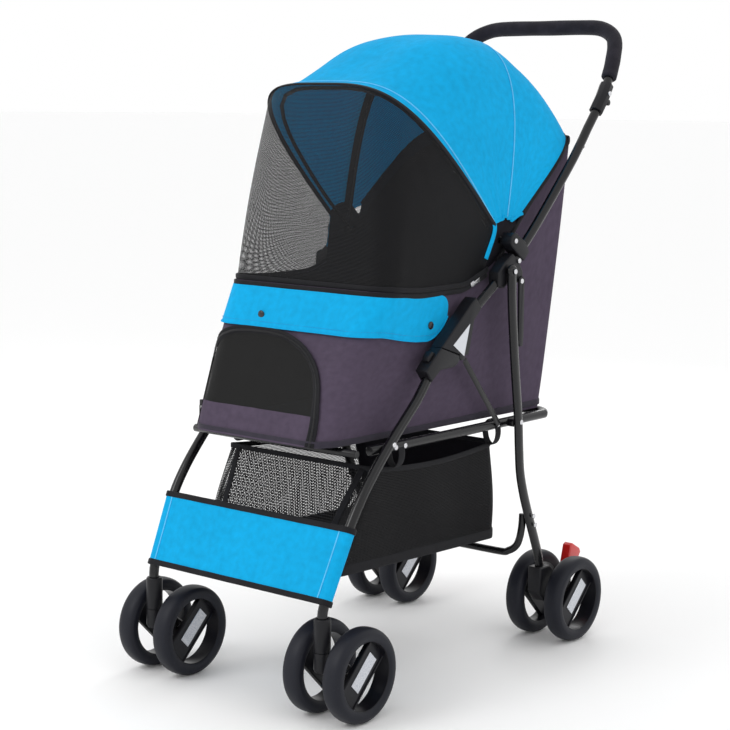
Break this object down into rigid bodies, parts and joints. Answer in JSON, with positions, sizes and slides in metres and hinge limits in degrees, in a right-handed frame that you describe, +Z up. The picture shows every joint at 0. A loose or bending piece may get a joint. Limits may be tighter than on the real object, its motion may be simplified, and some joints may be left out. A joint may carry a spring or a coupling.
{
  "type": "pet stroller",
  "caption": "Folding pet stroller with a tube frame, twin swivel and braked wheels, a zipped mesh cabin under a folding canopy, and a lower basket.",
  "frame": {"origin": "on the ground under the middle of the stroller's box", "axes": "+Z up, -Y the front that the stroller rolls towards, +X the left hand of someone pushing it. The handle is at +Y. In part names left is the -X side and right the +X side, as seen from the front"},
  "size_m": [0.454, 0.8257, 1.0233],
  "materials": {
    "black_steel": "gloss black powder coat on steel tube",
    "bright_steel": "zinc plated steel",
    "black_plastic": "fine grained moulded plastic",
    "wheel_plastic": "smooth moulded plastic",
    "tyre": "smooth foam rubber",
    "grip_foam": "closed cell foam",
    "red_plastic": "glossy moulded plastic",
    "blue_fabric": "plain woven polyester",
    "grey_fabric": "plain woven polyester",
    "black_mesh": "open polyester net",
    "black_webbing": "narrow woven strap",
    "board": "cloth covered fibreboard"
  },
  "bodies": {
    "rear_frame": {"rear_leg_left": "black_steel", "rear_leg_right": "black_steel", "rear_wheel_housing_left": "black_plastic", "rear_wheel_housing_right": "black_plastic", "axle_rear_left": "bright_steel", "axle_rear_right": "bright_steel", "basket_tube": "black_steel", "basket": "black_mesh"},
    "handle_frame": {"handle_tube": "black_steel", "handle_grip": "grip_foam", "upper_knee_left": "black_plastic", "upper_knee_right": "black_plastic", "hub_left": "black_plastic", "hub_right": "black_plastic", "canopy_bracket_left": "black_plastic", "canopy_bracket_right": "black_plastic", "handle_clamp_left": "black_plastic", "handle_clamp_right": "black_plastic"},
    "front_frame": {"front_leg_left": "black_steel", "front_leg_right": "black_steel", "lower_knee_left": "black_plastic", "lower_knee_right": "black_plastic", "caster_housing_left": "black_plastic", "caster_housing_right": "black_plastic", "front_cross_bar": "black_steel", "apron": "blue_fabric"},
    "seat": {"seat_frame": "black_steel", "floor_board": "board", "cabin_tub": "grey_fabric"},
    "brace_left": {"brace_left": "black_steel"},
    "brace_right": {"brace_right": "black_steel"},
    "lock_tab_left": {"lock_tab_left": "black_plastic"},
    "lock_tab_right": {"lock_tab_right": "black_plastic"},
    "caster_left": {"caster_fork_left": "black_plastic", "axle_front_left": "bright_steel"},
    "caster_right": {"caster_fork_right": "black_plastic", "axle_front_right": "bright_steel"},
    "brake_left": {"brake_pedal_left": "red_plastic"},
    "brake_right": {"brake_pedal_right": "red_plastic"},
    "canopy_front": {"front_bow": "black_steel", "canopy": "blue_fabric", "screen": "black_mesh"},
    "canopy_middle": {"middle_bow": "black_steel"},
    "latch": {"latch_strap": "black_webbing"},
    "wheel_front_left_outer": {"tyre_front_left_outer": "tyre", "rim_front_left_outer": "wheel_plastic"},
    "wheel_front_left_inner": {"tyre_front_left_inner": "tyre", "rim_front_left_inner": "wheel_plastic"},
    "wheel_front_right_outer": {"tyre_front_right_outer": "tyre", "rim_front_right_outer": "wheel_plastic"},
    "wheel_front_right_inner": {"tyre_front_right_inner": "tyre", "rim_front_right_inner": "wheel_plastic"},
    "wheel_rear_left_outer": {"tyre_rear_left_outer": "tyre", "rim_rear_left_outer": "wheel_plastic"},
    "wheel_rear_left_inner": {"tyre_rear_left_inner": "tyre", "rim_rear_left_inner": "wheel_plastic"},
    "wheel_rear_right_outer": {"tyre_rear_right_outer": "tyre", "rim_rear_right_outer": "wheel_plastic"},
    "wheel_rear_right_inner": {"tyre_rear_right_inner": "tyre", "rim_rear_right_inner": "wheel_plastic"}
  },
  "joints": [
    {"name": "frame_fold", "type": "hinge", "parent": "rear_frame", "child": "handle_frame", "pos_m": [0, 0.032, 0.6235], "axis": [-1, 0, 0], "range_deg": [0, 100], "deforming": ["cabin_tub", "basket", "apron"]},
    {"name": "knee_fold", "type": "hinge", "parent": "handle_frame", "child": "front_frame", "pos_m": [0, -0.084, 0.503], "axis": [-1, 0, 0], "range_deg": [-121, 0]},
    {"name": "seat_fold", "type": "hinge", "parent": "rear_frame", "child": "seat", "pos_m": [0, 0.072, 0.381], "axis": [-1, 0, 0], "range_deg": [0, 40]},
    {"name": "brace_fold_left", "type": "hinge", "parent": "seat", "child": "brace_left", "pos_m": [0, 0.04, 0.3785], "axis": [-1, 0, 0], "range_deg": [-43, 0]},
    {"name": "brace_fold_right", "type": "hinge", "parent": "seat", "child": "brace_right", "pos_m": [0, 0.04, 0.3785], "axis": [-1, 0, 0], "range_deg": [-43, 0]},
    {"name": "lock_tab_slide_left", "type": "slide", "parent": "front_frame", "child": "lock_tab_left", "axis": [0, 0.77, 0.638], "range_m": [0, 0.006], "stiffness_N_per_m": 250, "springref_m": -0.002},
    {"name": "lock_tab_slide_right", "type": "slide", "parent": "front_frame", "child": "lock_tab_right", "axis": [0, 0.77, 0.638], "range_m": [0, 0.006], "stiffness_N_per_m": 250, "springref_m": -0.002},
    {"name": "caster_swivel_left", "type": "hinge", "parent": "front_frame", "child": "caster_left", "pos_m": [-0.1704, -0.382, 0.1], "axis": [0, 0, 1], "continuous": true},
    {"name": "caster_swivel_right", "type": "hinge", "parent": "front_frame", "child": "caster_right", "pos_m": [0.1704, -0.382, 0.1], "axis": [0, 0, 1], "continuous": true},
    {"name": "spin_front_left_outer", "type": "hinge", "parent": "caster_left", "child": "wheel_front_left_outer", "pos_m": [-0.208, -0.343, 0.07], "axis": [1, 0, 0], "continuous": true},
    {"name": "spin_front_left_inner", "type": "hinge", "parent": "caster_left", "child": "wheel_front_left_inner", "pos_m": [-0.1328, -0.343, 0.07], "axis": [1, 0, 0], "continuous": true},
    {"name": "spin_front_right_outer", "type": "hinge", "parent": "caster_right", "child": "wheel_front_right_outer", "pos_m": [0.208, -0.343, 0.07], "axis": [1, 0, 0], "continuous": true},
    {"name": "spin_front_right_inner", "type": "hinge", "parent": "caster_right", "child": "wheel_front_right_inner", "pos_m": [0.1328, -0.343, 0.07], "axis": [1, 0, 0], "continuous": true},
    {"name": "spin_rear_left_outer", "type": "hinge", "parent": "rear_frame", "child": "wheel_rear_left_outer", "pos_m": [-0.2111, 0.207, 0.07], "axis": [1, 0, 0], "continuous": true},
    {"name": "spin_rear_left_inner", "type": "hinge", "parent": "rear_frame", "child": "wheel_rear_left_inner", "pos_m": [-0.1359, 0.207, 0.07], "axis": [1, 0, 0], "continuous": true},
    {"name": "spin_rear_right_outer", "type": "hinge", "parent": "rear_frame", "child": "wheel_rear_right_outer", "pos_m": [0.2111, 0.207, 0.07], "axis": [1, 0, 0], "continuous": true},
    {"name": "spin_rear_right_inner", "type": "hinge", "parent": "rear_frame", "child": "wheel_rear_right_inner", "pos_m": [0.1359, 0.207, 0.07], "axis": [1, 0, 0], "continuous": true},
    {"name": "brake_press_left", "type": "hinge", "parent": "rear_frame", "child": "brake_left", "pos_m": [-0.1735, 0.233, 0.09], "axis": [-1, 0, 0], "range_deg": [0, 22]},
    {"name": "brake_press_right", "type": "hinge", "parent": "rear_frame", "child": "brake_right", "pos_m": [0.1735, 0.233, 0.09], "axis": [-1, 0, 0], "range_deg": [0, 22]},
    {"name": "canopy_fold", "type": "hinge", "parent": "handle_frame", "child": "canopy_front", "pos_m": [0, 0.0509, 0.6692], "axis": [-1, 0, 0], "range_deg": [0, 82], "deforming": ["canopy", "screen"]},
    {"name": "middle_bow_fold", "type": "hinge", "parent": "handle_frame", "child": "canopy_middle", "pos_m": [0, 0.0509, 0.6692], "axis": [-1, 0, 0], "range_deg": [0, 36]},
    {"name": "latch_swing", "type": "hinge", "parent": "rear_frame", "child": "latch", "pos_m": [0.1908, 0.064, 0.606], "axis": [-1, 0, 0], "range_deg": [-60, 0]}
  ],
  "couplings": [
    {"joint": "knee_fold", "follows": "frame_fold", "ratio": -1.202},
    {"joint": "seat_fold", "follows": "frame_fold", "ratio": 0.392},
    {"joint": "brace_fold_left", "follows": "frame_fold", "ratio": -0.42},
    {"joint": "brace_fold_right", "follows": "frame_fold", "ratio": -0.42},
    {"joint": "middle_bow_fold", "follows": "canopy_fold", "ratio": 0.42}
  ]
}
